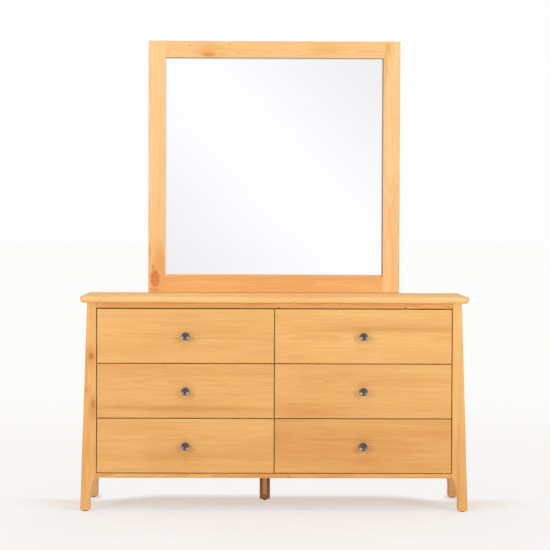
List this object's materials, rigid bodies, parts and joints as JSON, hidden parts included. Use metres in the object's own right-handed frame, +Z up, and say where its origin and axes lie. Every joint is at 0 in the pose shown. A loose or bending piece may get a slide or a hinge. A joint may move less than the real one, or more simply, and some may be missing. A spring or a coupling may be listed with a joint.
{
  "type": "dresser with mirror",
  "caption": "Honey pine dresser with splayed legs, inset drawers on telescopic slides, round metal knobs and a framed square mirror standing on its top.",
  "frame": {"origin": "on the floor, in the middle of the whole object's width and depth", "axes": "+X to the right seen from the front, +Y to the back, +Z up; drawers open towards -Y"},
  "size_m": [1.5, 0.482, 1.852],
  "materials": {
    "lacquered_pine": "satin lacquer over honey pine with visible grain and small knots",
    "plain_pine": "planed pine, thin matt lacquer",
    "plywood": "thin plywood, matt",
    "gunmetal": "satin gunmetal plating",
    "zinc_steel": "zinc-plated cold-rolled steel, drawn along its length",
    "mirror": "silvered float glass with a polished bevel",
    "glide_plastic": "dark moulded plastic"
  },
  "bodies": {
    "case": {"top_panel": "lacquered_pine", "front_leg_left": "lacquered_pine", "front_leg_right": "lacquered_pine", "back_leg_left": "lacquered_pine", "back_leg_right": "lacquered_pine", "side_panel_left": "lacquered_pine", "side_panel_right": "lacquered_pine", "top_front_rail": "lacquered_pine", "bottom_front_rail": "lacquered_pine", "centre_leg": "lacquered_pine", "mirror_stile_left": "lacquered_pine", "mirror_stile_right": "lacquered_pine", "mirror_rails": "lacquered_pine", "back_rails": "plain_pine", "centre_partition": "plain_pine", "centre_bearer": "plain_pine", "slide_battens": "plain_pine", "mirror_supports": "plain_pine", "back_panel": "plywood", "mirror_back_board": "plywood", "foot_glides": "glide_plastic", "slide_cabinet_members": "zinc_steel", "mirror_glass": "mirror"},
    "drawer_lower_left": {"drawer_front_lower_left": "lacquered_pine", "drawer_box_lower_left": "plain_pine", "drawer_bottom_lower_left": "plywood", "knob_lower_left": "gunmetal", "slide_inner_members_lower_left": "zinc_steel"},
    "slides_lower_left": {"slide_middle_members_lower_left": "zinc_steel"},
    "drawer_lower_right": {"drawer_front_lower_right": "lacquered_pine", "drawer_box_lower_right": "plain_pine", "drawer_bottom_lower_right": "plywood", "knob_lower_right": "gunmetal", "slide_inner_members_lower_right": "zinc_steel"},
    "slides_lower_right": {"slide_middle_members_lower_right": "zinc_steel"},
    "drawer_middle_left": {"drawer_front_middle_left": "lacquered_pine", "drawer_box_middle_left": "plain_pine", "drawer_bottom_middle_left": "plywood", "knob_middle_left": "gunmetal", "slide_inner_members_middle_left": "zinc_steel"},
    "slides_middle_left": {"slide_middle_members_middle_left": "zinc_steel"},
    "drawer_middle_right": {"drawer_front_middle_right": "lacquered_pine", "drawer_box_middle_right": "plain_pine", "drawer_bottom_middle_right": "plywood", "knob_middle_right": "gunmetal", "slide_inner_members_middle_right": "zinc_steel"},
    "slides_middle_right": {"slide_middle_members_middle_right": "zinc_steel"},
    "drawer_upper_left": {"drawer_front_upper_left": "lacquered_pine", "drawer_box_upper_left": "plain_pine", "drawer_bottom_upper_left": "plywood", "knob_upper_left": "gunmetal", "slide_inner_members_upper_left": "zinc_steel"},
    "slides_upper_left": {"slide_middle_members_upper_left": "zinc_steel"},
    "drawer_upper_right": {"drawer_front_upper_right": "lacquered_pine", "drawer_box_upper_right": "plain_pine", "drawer_bottom_upper_right": "plywood", "knob_upper_right": "gunmetal", "slide_inner_members_upper_right": "zinc_steel"},
    "slides_upper_right": {"slide_middle_members_upper_right": "zinc_steel"}
  },
  "joints": [
    {"name": "drawer_lower_left_slide", "type": "slide", "parent": "case", "child": "drawer_lower_left", "axis": [0, -1, 0], "range_m": [0, 0.33]},
    {"name": "slides_lower_left_travel", "type": "slide", "parent": "case", "child": "slides_lower_left", "axis": [0, -1, 0], "range_m": [0, 0.165]},
    {"name": "drawer_lower_right_slide", "type": "slide", "parent": "case", "child": "drawer_lower_right", "axis": [0, -1, 0], "range_m": [0, 0.33]},
    {"name": "slides_lower_right_travel", "type": "slide", "parent": "case", "child": "slides_lower_right", "axis": [0, -1, 0], "range_m": [0, 0.165]},
    {"name": "drawer_middle_left_slide", "type": "slide", "parent": "case", "child": "drawer_middle_left", "axis": [0, -1, 0], "range_m": [0, 0.33]},
    {"name": "slides_middle_left_travel", "type": "slide", "parent": "case", "child": "slides_middle_left", "axis": [0, -1, 0], "range_m": [0, 0.165]},
    {"name": "drawer_middle_right_slide", "type": "slide", "parent": "case", "child": "drawer_middle_right", "axis": [0, -1, 0], "range_m": [0, 0.33]},
    {"name": "slides_middle_right_travel", "type": "slide", "parent": "case", "child": "slides_middle_right", "axis": [0, -1, 0], "range_m": [0, 0.165]},
    {"name": "drawer_upper_left_slide", "type": "slide", "parent": "case", "child": "drawer_upper_left", "axis": [0, -1, 0], "range_m": [0, 0.33]},
    {"name": "slides_upper_left_travel", "type": "slide", "parent": "case", "child": "slides_upper_left", "axis": [0, -1, 0], "range_m": [0, 0.165]},
    {"name": "drawer_upper_right_slide", "type": "slide", "parent": "case", "child": "drawer_upper_right", "axis": [0, -1, 0], "range_m": [0, 0.33]},
    {"name": "slides_upper_right_travel", "type": "slide", "parent": "case", "child": "slides_upper_right", "axis": [0, -1, 0], "range_m": [0, 0.165]}
  ],
  "couplings": [
    {"joint": "slides_lower_left_travel", "follows": "drawer_lower_left_slide", "ratio": 0.5},
    {"joint": "slides_lower_right_travel", "follows": "drawer_lower_right_slide", "ratio": 0.5},
    {"joint": "slides_middle_left_travel", "follows": "drawer_middle_left_slide", "ratio": 0.5},
    {"joint": "slides_middle_right_travel", "follows": "drawer_middle_right_slide", "ratio": 0.5},
    {"joint": "slides_upper_left_travel", "follows": "drawer_upper_left_slide", "ratio": 0.5},
    {"joint": "slides_upper_right_travel", "follows": "drawer_upper_right_slide", "ratio": 0.5}
  ]
}
